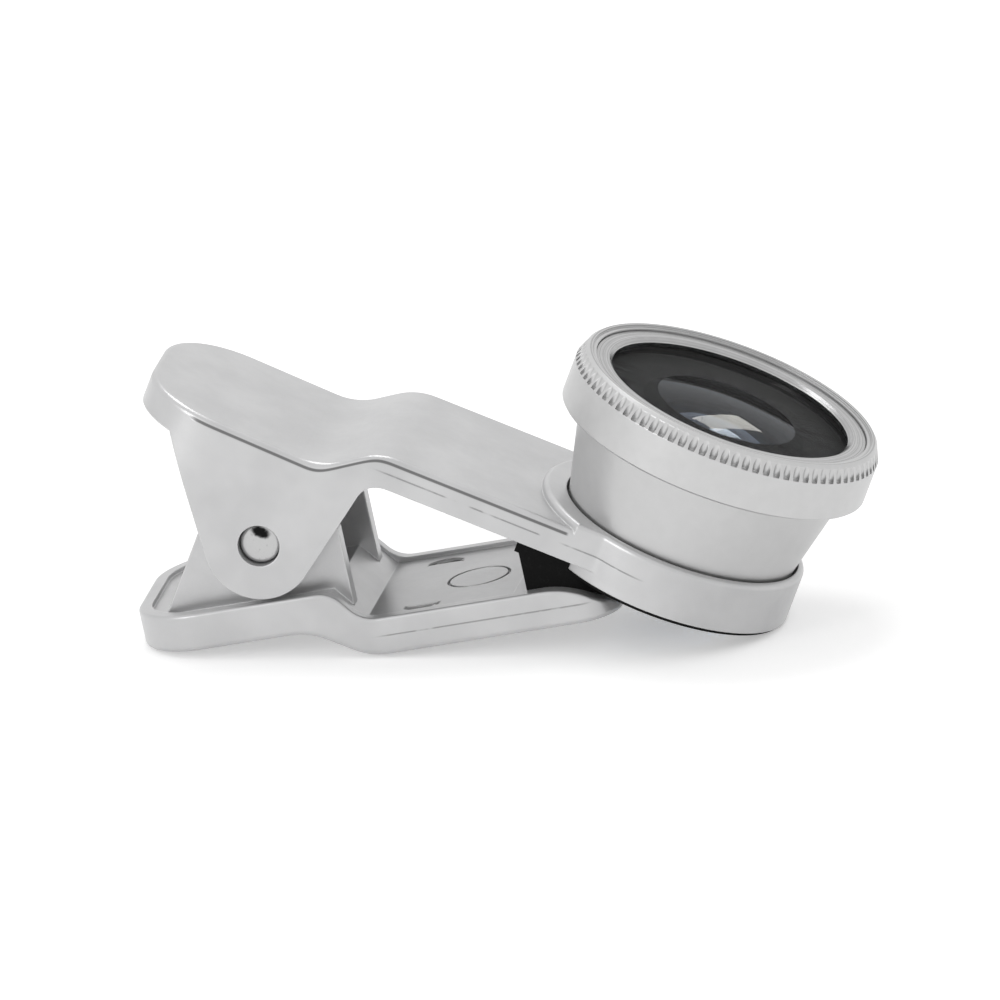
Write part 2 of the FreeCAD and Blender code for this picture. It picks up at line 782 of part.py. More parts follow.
def make_upper_pad():
    body = new_body("upper_jaw_pad")
    half = half_width - s.pad_side_inset
    block = outline(new_sketch(body, "upper_pad_outline", "XY_Plane", jaw_plane), [
        (upper_pad_back, -half),
        (s.lens_reach, -half),
        (s.lens_reach, half),
        (upper_pad_back, half),
    ])
    pad(body, "upper_pad_block", block, upper_jaw_bottom - jaw_plane)
    ring = circle(new_sketch(body, "ring_seat", "XY_Plane", s.ring_bottom), s.lens_reach, 0,
                  ring_radius + s.assembly_gap)
    pocket(body, "ring_seat_cut", ring, s.ring_top, reverse=True)
    disc = circle(new_sketch(body, "ring_pad_outline", "XY_Plane", jaw_plane), s.lens_reach, 0,
                  ring_pad_radius)
    pad(body, "ring_pad", disc, s.ring_pad_wall)
    hole = circle(new_sketch(body, "ring_pad_hole", "XY_Plane", jaw_plane), s.lens_reach, 0,
                  thread_bore + s.pad_hole_margin)
    pocket(body, "ring_pad_bore", hole, s.ring_top, symmetric=True)
    return body


def make_lower_pad():
    """A wedge glued on the lower jaw, cut level with the upper pad when the jaws are closed."""
    body = new_body("lower_jaw_pad")
    tip = s.lower_jaw_reach - s.pad_end_inset
    half = half_width - s.pad_side_inset
    corner = s.lower_jaw_corner - s.pad_end_inset
    low = closing_line(tip, s.jaw_pad_wall)
    high = closing_line(lower_pad_back)
    over = s.trim_margin
    plan = outline(new_sketch(body, "lower_pad_outline", "XY_Plane", low), [
        (lower_pad_back, -half),
        (tip - corner, -half, corner),
        (tip, corner - half),
        (tip, half - corner, corner),
        (tip - corner, half),
        (lower_pad_back, half),
    ])
    pad(body, "lower_pad_block", plan, high - low)
    face = outline(new_sketch(body, "pad_face_side", "XZ_Plane"), [
        (lower_pad_back - over, closing_line(lower_pad_back - over)),
        (tip + over, closing_line(tip + over)),
        (tip + over, high + over),
        (lower_pad_back - over, high + over),
    ])
    pocket(body, "pad_face", face, s.arm_width, symmetric=True)
    seat = outline(new_sketch(body, "pad_seat_side", "XZ_Plane"), [
        (lower_pad_back - over, low - over),
        (tip + over, low - over),
        (tip + over, closing_line(tip + over, s.jaw_pad_wall)),
        *jaw_curve,
        (lower_pad_back - over, -s.lower_jaw_drop),
    ])
    pocket(body, "pad_seat", seat, s.arm_width, symmetric=True)
    return body


# Lens: turned pieces about the lens axis, from the shoulder that seats in the ring

spigot_top = s.cone_top + s.spigot_height
spigot_hole = s.band_radius - s.band_wall
cone_radius = spigot_hole - s.thread_clearance
cup_radius = cone_radius - s.cup_wall
cup_fit = cup_radius - s.assembly_gap
crown_radius = s.band_radius - s.crown_draft
keeper_radius = s.band_radius - s.keeper_inset
keeper_bore = keeper_radius - s.keeper_wall
cell_radius = s.cell_bore + s.cell_wall
chamber_radius = cell_radius + s.assembly_gap
barrel_bore = s.cell_bore + s.floor_lip
shim_level = s.cup_floor + s.cell_flange
baffle_level = shim_level + s.shim_wall
glass_level = baffle_level + s.baffle_wall
glass_rim = glass_level + s.front_glass_edge
band_top = s.cone_top + s.band_height
flute_top = band_top + s.flute_height
crown_top = flute_top + s.crown_height
keeper_hole = keeper_radius + s.thread_clearance
rear_glass_level = s.chamber_floor + s.rear_ring_wall
stop_level = rear_glass_level + s.rear_glass_edge
middle_glass_level = stop_level + s.spacer_wall
cell_lip_level = middle_glass_level + s.middle_glass_edge
inner_glass_radius = s.cell_bore - s.assembly_gap


def sag(curve, radius):
    """How far a spherical surface falls from its crown at a radius."""
    return curve - root(curve * curve - radius * radius)


def make_barrel():
    return turned("lens_barrel", [
        (barrel_bore, -neck_length),
        (s.neck_radius, -neck_length),
        (s.neck_radius, ZERO),
        (base_radius, ZERO),
        (base_radius, s.base_height),
        (cone_radius, s.cone_top),
        (cone_radius, spigot_top),
        (cup_radius, spigot_top),
        (cup_radius, s.cup_floor),
        (chamber_radius, s.cup_floor),
        (chamber_radius, s.chamber_floor),
        (barrel_bore, s.chamber_floor),
    ])


def make_front_ring():
    """The band round the front, with a row of flutes cut under its crown."""
    step_radius = keeper_hole + s.crown_lip
    body = turned("front_ring", [
        (spigot_hole, s.cone_top),
        (s.band_radius - s.band_bevel, s.cone_top),
        (s.band_radius, s.cone_top + s.band_bevel),
        (s.band_radius, band_top),
        (crown_radius, flute_top),
        (crown_radius, crown_top - s.crown_bevel),
        (crown_radius - s.crown_bevel, crown_top),
        (step_radius, crown_top),
        (step_radius, crown_top - s.crown_step),
        (keeper_hole, crown_top - s.crown_step),
        (keeper_hole, glass_rim),
        (cup_radius, glass_rim),
        (cup_radius, spigot_top),
        (spigot_hole, spigot_top),
    ])
    flute = circle(new_sketch(body, "flute_outline", "XY_Plane", band_top),
                   s.band_radius - s.flute_inset, 0, s.flute_radius)
    first = pocket(body, "flute", flute, s.flute_height + s.crown_height, reverse=True)
    row = body.newObject("PartDesign::PolarPattern", "flutes")
    row.Originals = [first]
    row.Axis = (origin_part(body, "Z_Axis"), [""])
    row.Angle = 360
    row.setExpression("Occurrences", s.flute_count.words)
    body.Tip = row
    made(row)
    return body


def make_retaining_ring():
    top = crown_top - s.keeper_step
    return turned("front_retaining_ring", [
        (keeper_bore, glass_rim),
        (keeper_radius, glass_rim),
        (keeper_radius, top),
        (keeper_bore + s.keeper_lip, top),
        (keeper_bore, top - s.keeper_lip),
    ])


def make_front_element():
    hollow = sag(s.front_hollow_curve, s.front_hollow_radius)
    clear = keeper_bore + s.assembly_gap
    return turned("front_element", [
        (ZERO, glass_level + hollow, -s.front_hollow_curve),
        (s.front_hollow_radius, glass_level),
        (cup_fit, glass_level),
        (cup_fit, glass_rim),
        (clear, glass_rim, s.front_curve),
        (ZERO, glass_rim + sag(s.front_curve, clear)),
    ])


def make_baffle():
    return turned("baffle_ring", [
        (s.front_hollow_radius, glass_level),
        (s.front_hollow_radius + s.baffle_flare, baffle_level),
        (cup_fit, baffle_level),
        (cup_fit, glass_level),
    ])


def make_shim():
    shim_bore = cup_fit - s.shim_width
    return turned("baffle_shim", [
        (shim_bore, shim_level),
        (cup_fit, shim_level),
        (cup_fit, baffle_level),
        (shim_bore, baffle_level),
    ])


def make_cell():
    lip = s.cell_bore - s.cell_lip
    return turned("inner_cell", [
        (s.cell_bore, s.chamber_floor),
        (cell_radius, s.chamber_floor),
        (cell_radius, s.cup_floor),
        (cup_fit, s.cup_floor),
        (cup_fit, shim_level),
        (s.cell_mouth, shim_level),
        (lip, cell_lip_level + s.cell_lip),
        (lip, cell_lip_level),
        (s.cell_bore, cell_lip_level),
    ])


def make_middle_element():
    clear = s.cell_bore - s.cell_lip - s.assembly_gap
    return turned("middle_element", [
        (ZERO, middle_glass_level),
        (inner_glass_radius, middle_glass_level),
        (inner_glass_radius, cell_lip_level),
        (clear, cell_lip_level, s.middle_curve),
        (ZERO, cell_lip_level + sag(s.middle_curve, clear)),
    ])


def make_stop():
    """A spacer between the rear two lenses, drawn in to a knife edge that stops the light."""
    mouth = inner_glass_radius - s.stop_rim
    waist = stop_level + s.spacer_wall / 2
    return turned("aperture_spacer", [
        (mouth, stop_level),
        (inner_glass_radius, stop_level),
        (inner_glass_radius, middle_glass_level),
        (mouth, middle_glass_level),
        (s.stop_radius, waist + s.stop_edge / 2),
        (s.stop_radius, waist - s.stop_edge / 2),
    ])


def make_rear_element():
    clear = s.rear_ring_bore - s.assembly_gap
    return turned("rear_element", [
        (ZERO, rear_glass_level - sag(s.rear_curve, clear), s.rear_curve),
        (clear, rear_glass_level),
        (inner_glass_radius, rear_glass_level),
        (inner_glass_radius, stop_level),
        (ZERO, stop_level),
    ])


def make_rear_ring():
    """The threaded ring behind the rear lens, with two slots for a spanner."""
    body = turned("rear_retaining_ring", [
        (s.rear_ring_bore, s.chamber_floor),
        (inner_glass_radius, s.chamber_floor),
        (inner_glass_radius, rear_glass_level),
        (s.rear_ring_bore, rear_glass_level),
    ])
    half = s.spanner_slot / 2
    slot = outline(new_sketch(body, "spanner_outline", "XY_Plane", s.chamber_floor), [
        (-s.cell_bore, -half),
        (s.cell_bore, -half),
        (s.cell_bore, half),
        (-s.cell_bore, half),
    ])
    pocket(body, "spanner_slots", slot, s.rear_ring_wall / 2, reverse=True)
    return body


# Making and laying down

upper_pieces = [make_upper_arm(), make_hinge_pin(), make_spring(), make_upper_pad()]
lower_pieces = [make_lower_arm(), make_lower_pad()]
lens_pieces = [
    make_barrel(), make_front_ring(), make_retaining_ring(), make_front_element(), make_baffle(),
    make_shim(), make_cell(), make_middle_element(), make_stop(), make_rear_element(),
    make_rear_ring(),
]
pieces = lower_pieces + upper_pieces + lens_pieces


def resting_tilt():
    """Slope of the upper arm when the clip lies on its lower grip's end and its ring."""
    edge = s.edge_round.value
    swing = math.radians(s.jaw_angle.value)
    heel = (-s.lower_reach.value + edge, lower_grip_bottom.value + edge)
    heel = (heel[0] * math.cos(swing) - heel[1] * math.sin(swing),
            heel[0] * math.sin(swing) + heel[1] * math.cos(swing))
    toe = ((s.lens_reach + ring_pad_radius).value, jaw_plane.value)
    across, up = toe[0] - heel[0], toe[1] - heel[1]
    return math.degrees(math.atan2(up, across) + math.asin(edge / math.hypot(across, up)))


def lay_down():
    """Tilts the pieces to rest, then centres their box on the floor's origin."""
    tilt = resting_tilt()
    y_axis = FreeCAD.Vector(0, 1, 0)
    origin = FreeCAD.Vector(0, 0, 0)
    upper = FreeCAD.Placement(origin, FreeCAD.Rotation(y_axis, tilt))
    lower = FreeCAD.Placement(origin, FreeCAD.Rotation(y_axis, tilt - s.jaw_angle.value))
    seat = FreeCAD.Placement(FreeCAD.Vector(s.lens_reach.value, 0, seat_level.value),
                             FreeCAD.Rotation())
    places = [(lower_pieces, lower), (upper_pieces, upper), (lens_pieces, upper.multiply(seat))]
    for group, place in places:
        for piece in group:
            piece.Placement = place
    doc.recompute()
    box = FreeCAD.BoundBox()
    for piece in pieces:
        box.add(piece.Shape.optimalBoundingBox(False, False))
    shift = FreeCAD.Vector(-box.Center.x, -box.Center.y, -box.ZMin)
    for piece in pieces:
        piece.Placement.Base = piece.Placement.Base.add(shift)
    doc.recompute()
    return tilt, shift, box


def check():
    """Stops the build if any object of the document failed."""
    for item in doc.Objects:
        if "Invalid" in item.State or "Error" in item.State:
            raise RuntimeError(f"{item.Name} failed: {item.State}")
    for piece in pieces:
        if piece.Shape.isNull() or not piece.Shape.isValid() or not piece.Shape.Solids:
            raise RuntimeError(f"{piece.Label} has no valid solid")


tilt, shift, box = lay_down()
check()
os.makedirs("parts", exist_ok=True)
for piece in pieces:
    piece.Shape.exportStep(f"parts/{piece.Label}.step")
print(f"tilt {tilt:.4f}, hinge at {shift}, size {box.XLength:.3f} {box.YLength:.3f} {box.ZLength:.3f}")
for piece in pieces:
    print(f"{piece.Label}: {len(piece.Shape.Solids)} solid, {piece.Shape.Volume:.1f} mm3")
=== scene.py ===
import json
import math

import bpy
from mathutils import Matrix, Vector


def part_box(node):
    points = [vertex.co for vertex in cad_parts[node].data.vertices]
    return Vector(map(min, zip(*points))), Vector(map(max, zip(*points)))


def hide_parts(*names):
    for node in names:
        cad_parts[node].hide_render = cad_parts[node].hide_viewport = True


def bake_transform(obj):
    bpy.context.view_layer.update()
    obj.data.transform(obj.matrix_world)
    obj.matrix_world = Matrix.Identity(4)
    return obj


# Clip-on phone lens, lying closed on a white table. Metres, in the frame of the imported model.
# Places inside materials are in millimetres, in the axes of the arm or the lens that wears them.

MM = 0.001
TURN = 2 * math.pi

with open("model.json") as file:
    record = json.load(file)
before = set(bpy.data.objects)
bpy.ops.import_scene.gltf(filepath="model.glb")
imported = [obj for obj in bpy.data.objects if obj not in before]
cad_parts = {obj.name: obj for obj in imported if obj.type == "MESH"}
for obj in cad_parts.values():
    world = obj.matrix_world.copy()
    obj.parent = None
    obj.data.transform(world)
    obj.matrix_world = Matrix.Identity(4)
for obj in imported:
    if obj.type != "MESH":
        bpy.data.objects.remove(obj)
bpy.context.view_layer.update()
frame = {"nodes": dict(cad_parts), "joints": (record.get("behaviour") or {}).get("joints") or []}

NODES = frame["nodes"]


# Places that the materials and pieces share

# The angle between the closed arms' own axes, the distance from the hinge pin to the lens axis, and
# the height of the lens's seat over the pin
JAW_ANGLE = math.radians(32.0)
LENS_REACH = 30.4 * MM
SEAT_LEVEL = 9.81 * MM


def find_joint(name):
    return next(joint for joint in frame["joints"] if joint["name"] == name)


LENS_AXIS = Vector(find_joint("lens_unscrew")["axis"]).normalized()
ACROSS = Vector((0.0, 1.0, 0.0))
ARM_WAY = ACROSS.cross(LENS_AXIS).normalized()
PIN_LOW, PIN_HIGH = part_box("hinge_pin")
HINGE = (PIN_LOW + PIN_HIGH) / 2


def upper_frame():
    """Matrix from the upper arm's own axes at the hinge pin to the model's."""
    turn = Matrix((ARM_WAY, ACROSS, LENS_AXIS)).transposed().to_4x4()
    return Matrix.Translation(HINGE) @ turn


def lower_frame():
    """Matrix from the lower arm's own axes at the hinge pin to the model's."""
    return upper_frame() @ Matrix.Rotation(-JAW_ANGLE, 4, "Y")


def lens_frame():
    """Matrix from the lens's own axes, with z = 0 on its seat, to the model's."""
    return upper_frame() @ Matrix.Translation((LENS_REACH, 0.0, SEAT_LEVEL))


# Shader building

class Shader:
    """A node material with short words for the nodes that it is made of."""

    def __init__(self, name):
        self.material = bpy.data.materials.new(name)
        self.material.use_nodes = True
        self.tree = self.material.node_tree
        self.tree.nodes.clear()
        self.output = self.tree.nodes.new("ShaderNodeOutputMaterial")
        self.surface = self.tree.nodes.new("ShaderNodeBsdfPrincipled")
        self.link(self.surface.outputs["BSDF"], self.output.inputs["Surface"])

    def link(self, source, target):
        self.tree.links.new(source, target)

    def node(self, kind, inputs=(), **settings):
        made = self.tree.nodes.new(f"ShaderNode{kind}")
        for key, value in settings.items():
            setattr(made, key, value)
        for key, value in dict(inputs).items():
            self.put(made.inputs[key], value)
        return made

    def put(self, socket, value):
        if isinstance(value, bpy.types.NodeSocket):
            self.link(value, socket)
        else:
            socket.default_value = value

    def set(self, **values):
        """Values for the surface's inputs, with base_color for its Base Color."""
        for key, value in values.items():
            name = key.replace("_", " ").title().replace("Ior", "IOR")
            self.put(self.surface.inputs[name], value)

    def math(self, operation, a, b=0.0, c=0.0):
        made = self.node("Math", operation=operation)
        for socket, value in zip(made.inputs, (a, b, c)):
            self.put(socket, value)
        return made.outputs[0]

    def times(self, product, *others):
        for other in others:
            product = self.math("MULTIPLY", product, other)
        return product

    def flip(self, value):
        """1 for 0, and 0 for 1."""
        return self.math("SUBTRACT", 1.0, value)

    def place(self, matrix):
        """Object coordinates in the axes of matrix, in millimetres."""
        source = self.node("TexCoord").outputs["Object"]
        back = matrix.inverted()
        turned = self.node("Mapping", vector_type="POINT")
        self.link(source, turned.inputs["Vector"])
        turned.inputs["Rotation"].default_value = back.to_euler()
        turned.inputs["Location"].default_value = back.translation / MM
        turned.inputs["Scale"].default_value = (1 / MM,) * 3
        return turned.outputs["Vector"]

    def split(self, place):
        """The x, y and z of a place."""
        return tuple(self.node("SeparateXYZ", {"Vector": place}).outputs)

    def noise(self, vector, scale, detail=2.0, roughness=0.5):
        made = self.node("TexNoise", {"Vector": vector, "Scale": scale, "Detail": detail,
                                      "Roughness": roughness})
        return made.outputs["Fac"]

    def stripes(self, value, density):
        """Noise that changes only with value, density times faster."""
        line = self.node("CombineXYZ", {"X": self.times(value, density)})
        return self.noise(line.outputs[0], 1.0)

    def spread(self, value, low, high):
        """value from 0 to 1 as a number from low to high."""
        made = self.node("MapRange", {"Value": value, "To Min": low, "To Max": high})
        return made.outputs["Result"]

    def step(self, value, start, end):
        """0 where value is below start, 1 above end."""
        made = self.node("MapRange", {"Value": value, "From Min": start, "From Max": end},
                         interpolation_type="SMOOTHSTEP")
        return made.outputs["Result"]

    def near(self, value, middle, inner, outer):
        """1 where value is within inner of middle, 0 beyond outer."""
        off = self.math("ABSOLUTE", self.math("SUBTRACT", value, middle))
        return self.flip(self.step(off, inner, outer))

    def between(self, value, low, high):
        """1 where value is above low and below high, with hard ends."""
        return self.times(self.math("GREATER_THAN", value, low),
                          self.math("LESS_THAN", value, high))

    def stretch(self, value, rise, fall):
        """1 from the pair rise to the pair fall, with a soft end between each pair's numbers."""
        return self.times(self.step(value, *rise), self.flip(self.step(value, *fall)))

    def mix(self, share, a, b):
        made = self.node("Mix", data_type="RGBA")
        self.put(made.inputs["Factor"], share)
        self.put(made.inputs[6], a)
        self.put(made.inputs[7], b)
        return made.outputs[2]

    def bump(self, height, distance, strength=1.0, normal=None):
        made = self.node("Bump", {"Height": height, "Distance": distance, "Strength": strength})
        if normal is not None:
            self.link(normal, made.inputs["Normal"])
        return made.outputs["Normal"]

    def soft_edge(self, radius, samples=6):
        """The normal, rounded over sharp edges."""
        return self.node("Bevel", {"Radius": radius}, samples=samples).outputs["Normal"]

    def highlight_edge(self, radius, low, high):
        """1 along sharp edges, from how far a rounded normal leans from the plain one; a highlight
        is painted there.
        """
        rounded = self.soft_edge(radius, samples=4)
        plain = self.node("NewGeometry").outputs["Normal"]
        lean = self.node("VectorMath", operation="DOT_PRODUCT")
        self.link(rounded, lean.inputs[0])
        self.link(plain, lean.inputs[1])
        return self.step(self.flip(lean.outputs["Value"]), low, high)


def grey(level):
    return (level, level, level, 1.0)


# Silver paint on the two arms

# The upper arm's top in its own axes, each stretch as slope * x + rise, and how softly they meet
GRIP_SLOPE, GRIP_RISE = -0.0297, 8.118
CLIMB_SLOPE, CLIMB_RISE = 0.7195, 6.395
JAW_TOP = 11.0
TOP_ROUNDING = 1.1

# The groove under that top: how far down it is, half its width, and where it starts and ends
GROOVE_DROP = 0.5
GROOVE_HALF = (0.07, 0.17)
GROOVE_START = (-9.6, -8.0)
GROOVE_END = (22.4, 22.7)


def upper_edge_line(m, x, z):
    """The groove just under the upper arm's top edge: 1 in it, along the arm and up the bend."""
    grip = m.math("MULTIPLY_ADD", x, GRIP_SLOPE, GRIP_RISE)
    climb = m.math("MULTIPLY_ADD", x, CLIMB_SLOPE, CLIMB_RISE)
    top = m.math("SMOOTH_MAX", grip, climb, TOP_ROUNDING)
    top = m.math("SMOOTH_MIN", top, JAW_TOP, TOP_ROUNDING)
    line = m.near(m.math("SUBTRACT", top, z), GROOVE_DROP, *GROOVE_HALF)
    return m.times(line, m.stretch(x, GROOVE_START, GROOVE_END))


# The mould's parting line on an arm: half its width, and over what length its ends fade
PARTING_HALF = (0.03, 0.09)
PARTING_FADE = 2.0


def parting_line(m, place, x, z, level, start, end):
    """The mould's parting line along an arm's side, from start to end, clean in places."""
    line = m.near(z, level, *PARTING_HALF)
    along = m.stretch(x, (start, start + PARTING_FADE), (end - PARTING_FADE, end))
    broken = m.step(m.noise(place, 0.5), 0.36, 0.5)
    return m.times(line, along, broken)


# The crescents moulded in the lower arm: their middle, half their length, how far out their ends
# are and how much further their middle is, how far the paint is darkened round them, and the
# levels between which the darkening lies
CRESCENT_REACH = 11.2
CRESCENT_HALF = 1.5
CRESCENT_SPAN = 5.75
CRESCENT_BULGE = 0.75
DARK_REACH = 0.5
DARK_FLOOR = -8.3
DARK_TOP = -7.7


def inner_marks(m, x, y, z):
    """1 in and round the crescents moulded in the lower arm, where the paint is darkened."""
    along = m.math("DIVIDE", m.math("SUBTRACT", x, CRESCENT_REACH), CRESCENT_HALF)
    square = m.times(along, along)
    middle = m.math("MULTIPLY_ADD", square, -CRESCENT_BULGE, CRESCENT_SPAN + CRESCENT_BULGE)
    near = m.near(m.math("ABSOLUTE", y), middle, DARK_REACH * 0.6, DARK_REACH)
    inside = m.flip(m.step(square, 0.8, 1.1))
    return m.times(near, inside, m.between(z, DARK_FLOOR, DARK_TOP))


# The paint's darker and lighter clouds, its flake, and how metallic it is
PAINT_DARK = (0.515, 0.515, 0.519, 1.0)
PAINT_LIGHT = (0.585, 0.585, 0.588, 1.0)
PAINT_FLAKE = (0.68, 0.68, 0.685, 1.0)
PAINT_METALLIC = 0.6

# Greys of the dark fine lines (painted shade in the groove under the top edge), of the darkening in
# and round the crescents, and of the highlight painted along the edges
LINE_DARK = 0.06
MARK_DARK = 0.02
EDGE_HIGHLIGHT_GREY = 0.9

# How far an arm's side faces are from its middle, where its fine lines run
ARM_SIDE = (8.6, 8.9)


def silver_paint(name, arm, level, start, end, edged=False, marked=False):
    """Silver spray paint on an arm: fine flake, a little orange peel, a parting line at level from
    start to end drawn dark, and a highlight painted along its sharp edges. An edged arm has the
    groove under its top edge, darkened as painted shade; a marked one is darkened in and round its
    crescents."""
    m = Shader(name)
    place = m.place(arm)
    flake = m.noise(place, 14.0, 1.0)
    clouds = m.step(m.noise(place, 0.16, 3.0, 0.6), 0.3, 0.7)
    colour = m.mix(m.spread(flake, 0.0, 0.3), m.mix(clouds, PAINT_DARK, PAINT_LIGHT), PAINT_FLAKE)
    x, y, z = m.split(place)
    side = m.step(m.math("ABSOLUTE", y), *ARM_SIDE)
    line = m.times(parting_line(m, place, x, z, level, start, end), side, 0.6)
    if edged:
        line = m.math("MAXIMUM", line, m.times(upper_edge_line(m, x, z), side))
    # The fine lines are darkened: painted shade in the groove under the top edge, and the parting
    # line drawn dark
    colour = m.mix(m.times(line, 0.8), colour, grey(LINE_DARK))
    # A highlight painted along the sharp edges
    edge_highlight = m.highlight_edge(0.2 * MM, 0.02, 0.2)
    colour = m.mix(m.times(edge_highlight, 0.6), colour, grey(EDGE_HIGHLIGHT_GREY))
    metallic = PAINT_METALLIC
    if marked:
        # Darker, in patches, in and round the crescents, and not metallic there
        patchy = m.step(m.noise(place, 1.6, 3.0, 0.6), 0.3, 0.42)
        darkened = m.times(inner_marks(m, x, y, z), patchy)
        colour = m.mix(darkened, colour, grey(MARK_DARK))
        metallic = m.times(m.flip(darkened), metallic)
    m.set(base_color=colour, metallic=metallic,
          roughness=m.spread(m.noise(place, 2.2, 4.0), 0.26, 0.4))
    peel = m.bump(m.noise(place, 1.3), 0.009 * MM, normal=m.soft_edge(0.16 * MM))
    fine = m.bump(flake, 0.003 * MM, 0.6, peel)
    m.set(normal=m.bump(line, -0.05 * MM, 0.8, fine))
    return m.material


# Turned metal on the lens

# The screw thread on the lens's neck: its pitch, and the level under which it is
THREAD_PITCH = 0.6
THREAD_TOP = -0.25

# The lens's face, where the turning marks show, is above this level and inside this radius
FACE_LEVEL = 12.35
FACE_RADIUS = 12.05

# The walls round the front glass are painted black, partly as a lens maker's blackening and partly
# as painted shade under the lens's lip: those inside this radius, between these levels
DARK_WALL_RADIUS = 10.5
DARK_WALL_FLOOR = 9.0
DARK_WALL_TOP = 12.59

# Greys of the turning marks and of the black walls round the front glass
MARK_GREY = 0.2
DARK_WALL_GREY = 0.008


def lens_radius(m, x, y):
    """Distance from the lens axis."""
    return m.math("SQRT", m.math("ADD", m.math("POWER", x, 2.0), m.math("POWER", y, 2.0)))


def thread(m, x, y, z):
    """Height of the screw thread on the lens's neck, a triangle wave that climbs a pitch a turn."""
    turn = m.math("DIVIDE", m.math("ARCTAN2", y, x), TURN)
    wave = m.math("PINGPONG", m.math("SUBTRACT", m.math("DIVIDE", z, THREAD_PITCH), turn), 0.5)
    return m.times(wave, 2.0, m.math("LESS_THAN", z, THREAD_TOP))


def turning_marks(m, along, radius, z):
    """1 in the darker rings that the lathe left on the lens's face. Along is how far a place is
    along the lens's profile."""
    face = m.times(m.math("GREATER_THAN", z, FACE_LEVEL),
                   m.math("LESS_THAN", radius, FACE_RADIUS))
    marks = m.stripes(along, 7.0)
    return m.times(face, m.flip(m.step(marks, 0.4, 0.56)))


def dark_walls(m, radius, z):
    """1 on the walls round the front glass, painted black: partly as a lens maker's blackening, so
    that they don't show through the glass, and partly as painted shade under the lens's lip.
    """
    return m.times(m.between(z, DARK_WALL_FLOOR, DARK_WALL_TOP),
                   m.math("LESS_THAN", radius, DARK_WALL_RADIUS))


def round_the_lens(m):
    """The way that a lathe tool went over the surface, round the lens axis."""
    source = m.node("TexCoord").outputs["Object"]
    off = m.node("VectorMath", {0: source, 1: lens_frame().translation}, operation="SUBTRACT")
    way = m.node("VectorMath", {0: off.outputs[0], 1: LENS_AXIS}, operation="CROSS_PRODUCT")
    turned = m.node("VectorTransform", {0: way.outputs[0]}, vector_type="VECTOR",
                    convert_from="OBJECT", convert_to="WORLD")
    return m.node("VectorMath", {0: turned.outputs[0]}, operation="NORMALIZE").outputs[0]


def turned_metal(name, colour, bright, roughness, pitch, metallic, edge_highlight, gloss=0.5,
                 threaded=False):
    """Something turned about the lens axis, in colour with a highlight painted in bright along its
    sharp edges: fine rings of one pitch and faint blotches. Where it is metallic, it has a lathe's
    sheen and marks, and the walls round the front glass are painted black, partly as a lens maker's
    blackening and partly as painted shade."""
    m = Shader(name)
    m.set(specular_ior_level=gloss)
    place = m.place(lens_frame())
    x, y, z = m.split(place)
    radius = lens_radius(m, x, y)
    along = m.math("ADD", radius, z)
    rings = m.stripes(along, 1 / pitch)
    blotch = m.noise(place, 0.8, 4.0)
    # A highlight painted along the sharp edges, in the bright colour
    edge = m.times(m.highlight_edge(0.06 * MM, 0.05, 0.3), edge_highlight)
    metal = m.mix(edge, m.mix(m.times(blotch, 0.35), colour, bright), bright)
    if metallic > 0:
        marks = turning_marks(m, along, radius, z)
        metal = m.mix(m.times(marks, 0.5), metal, grey(MARK_GREY))
        # The walls round the front glass painted black: partly a lens maker's blackening, partly
        # painted shade
        black = dark_walls(m, radius, z)
        metal = m.mix(black, metal, grey(DARK_WALL_GREY))
        m.set(metallic=m.times(m.flip(black), metallic), anisotropic=0.6,
              tangent=round_the_lens(m))
    else:
        m.set(metallic=metallic)
    m.set(base_color=metal,
          roughness=m.spread(m.times(m.math("ADD", rings, blotch), 0.5),
                             roughness - 0.07, roughness + 0.07))
    soft = m.soft_edge(0.08 * MM)
    if threaded:
        soft = m.bump(thread(m, x, y, z), 0.2 * MM, 1.0, soft)
    m.set(normal=m.bump(rings, 0.004 * MM, 0.8, soft))
    return m.material


# Steel, rubber and glass

# A shadow painted on the pin's ends, next to the top of its hole, where the hole's lip shades them:
# its place, half its width and height, and its grey
PIN_SHADOW_PLACE = (-0.25, 0.92)
PIN_SHADOW_SIZE = (0.85, 0.5)
PIN_SHADOW_GREY = 0.01


def pin_shadow(m, place):
    """1 in the shadow painted on the pin's end, next to the top of its hole."""
    x, _, z = m.split(place)
    across, up = (m.math("DIVIDE", m.math("SUBTRACT", value, middle), half)
                  for value, middle, half in zip((x, z), PIN_SHADOW_PLACE, PIN_SHADOW_SIZE))
    reach = m.math("ADD", m.times(across, across), m.times(up, up))
    ragged = m.math("MULTIPLY_ADD", m.noise(place, 2.5, 3.0), 1.2, reach)
    return m.flip(m.step(ragged, 0.9, 1.9))


def drawn_steel(name, level, shadowed=False):
    """Drawn wire or rod: fine lines along it, a few dull specks, and maybe a painted shadow on its
    ends.
    """
    m = Shader(name)
    place = m.place(upper_frame())
    stretched = m.node("Mapping", {"Vector": place, "Scale": (9.0, 0.6, 9.0)}).outputs["Vector"]
    lines = m.noise(stretched, 1.0, 3.0)
    specks = m.step(m.noise(place, 3.0, 3.0), 0.62, 0.7)
    colour = m.mix(m.times(specks, 0.4), grey(level), grey(level * 0.55))
    if shadowed:
        # A shadow painted on the pin's end, under the top lip of its hole
        colour = m.mix(pin_shadow(m, place), colour, grey(PIN_SHADOW_GREY))
    m.set(base_color=colour, metallic=1.0, roughness=m.spread(lines, 0.2, 0.42),
          normal=m.bump(lines, 0.004 * MM))
    return m.material


